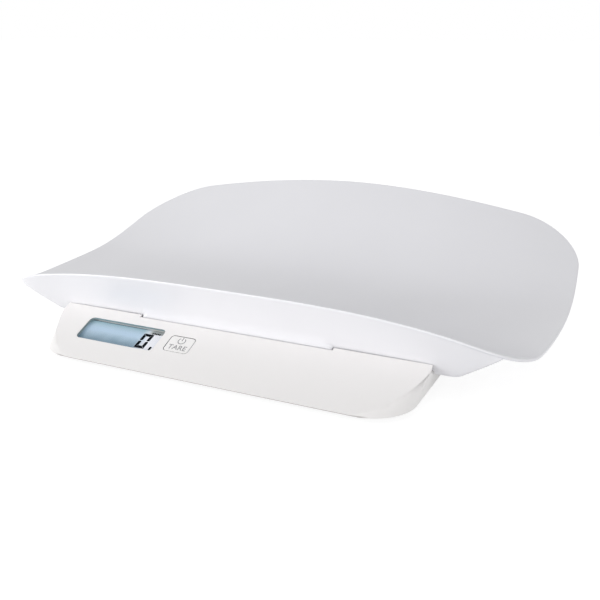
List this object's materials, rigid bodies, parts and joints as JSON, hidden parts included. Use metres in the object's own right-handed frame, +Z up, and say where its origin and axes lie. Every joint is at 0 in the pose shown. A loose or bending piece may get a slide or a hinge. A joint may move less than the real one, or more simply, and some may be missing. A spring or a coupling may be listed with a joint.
{
  "type": "digital baby scale",
  "caption": "White digital baby scale: a long curved lift-off tray on a low base with a sloping console, display window and one power and tare key.",
  "frame": {"origin": "on the surface the scale stands on, under the middle of its footprint", "axes": "+X along the tray towards its right end, +Y away from the console, +Z up"},
  "size_m": [0.55, 0.362, 0.1237],
  "materials": {
    "tray_plastic": "satin moulded, white",
    "cover_plastic": "satin moulded, warm white",
    "pan_plastic": "fine spark texture, light grey",
    "key_plastic": "satin moulded, warm white",
    "button_plastic": "matt grey",
    "window_plastic": "clear polished",
    "display_glass": "pale steel blue when lit",
    "light_guide": "frosted",
    "inner_plastic": "natural",
    "foot_plastic": "matt grey",
    "chip_plastic": "matt black",
    "circuit_board": "solder mask over glass fibre",
    "screw_steel": "zinc plated",
    "cell_steel": "nickel plated spring steel",
    "spring_steel": "nickel plated",
    "gauge_film": "resin film",
    "cell_jacket": "plain shrink jacket over a steel can",
    "lead_jacket": "soft insulation",
    "pad_rubber": "matt moulded"
  },
  "bodies": {
    "base": {"backlight_panel": "light_guide", "base_cover": "cover_plastic", "base_pan": "pan_plastic", "battery_cells": "cell_jacket", "battery_contacts": "spring_steel", "battery_leads": "lead_jacket", "battery_springs": "spring_steel", "board_screws": "screw_steel", "clamp_screws": "screw_steel", "controller_chip": "chip_plastic", "display_window": "window_plastic", "foot_front_left": "foot_plastic", "foot_front_right": "foot_plastic", "foot_pad_front_left": "pad_rubber", "foot_pad_front_right": "pad_rubber", "foot_pad_rear_left": "pad_rubber", "foot_pad_rear_right": "pad_rubber", "foot_rear_left": "foot_plastic", "foot_rear_right": "foot_plastic", "housing_screws": "screw_steel", "lcd_connectors": "pad_rubber", "lcd_holder": "inner_plastic", "lcd_panel": "display_glass", "lead_connectors": "inner_plastic", "load_cell_clamp_front_left": "inner_plastic", "load_cell_clamp_front_right": "inner_plastic", "load_cell_clamp_rear_left": "inner_plastic", "load_cell_clamp_rear_right": "inner_plastic", "load_cell_front_left": "cell_steel", "load_cell_front_right": "cell_steel", "load_cell_rear_left": "cell_steel", "load_cell_rear_right": "cell_steel", "main_board": "circuit_board", "sensor_leads": "lead_jacket", "strain_gauges": "gauge_film", "tare_switch": "chip_plastic", "unit_board": "circuit_board", "unit_lead": "lead_jacket", "unit_screws": "screw_steel", "unit_switch": "chip_plastic"},
    "tray": {"tray": "tray_plastic", "tray_pads": "pad_rubber"},
    "tare_key": {"tare_key": "key_plastic", "tare_switch_plunger": "inner_plastic"},
    "unit_button": {"unit_button": "button_plastic", "unit_switch_plunger": "inner_plastic"},
    "battery_door": {"battery_door": "pan_plastic"}
  },
  "joints": [
    {"name": "tray_lift", "type": "slide", "parent": "base", "child": "tray", "axis": [0, 0, 1], "range_m": [0, 0.12]},
    {"name": "tare_key_press", "type": "slide", "parent": "base", "child": "tare_key", "axis": [0, 0.3836, -0.9235], "range_m": [0, 0.0005], "stiffness_N_per_m": 3200, "springref_m": -0.0002},
    {"name": "unit_button_press", "type": "slide", "parent": "base", "child": "unit_button", "axis": [0, 0, 1], "range_m": [0, 0.0005], "stiffness_N_per_m": 3200},
    {"name": "battery_door_slide", "type": "slide", "parent": "base", "child": "battery_door", "axis": [0, 1, 0], "range_m": [0, 0.057]}
  ]
}
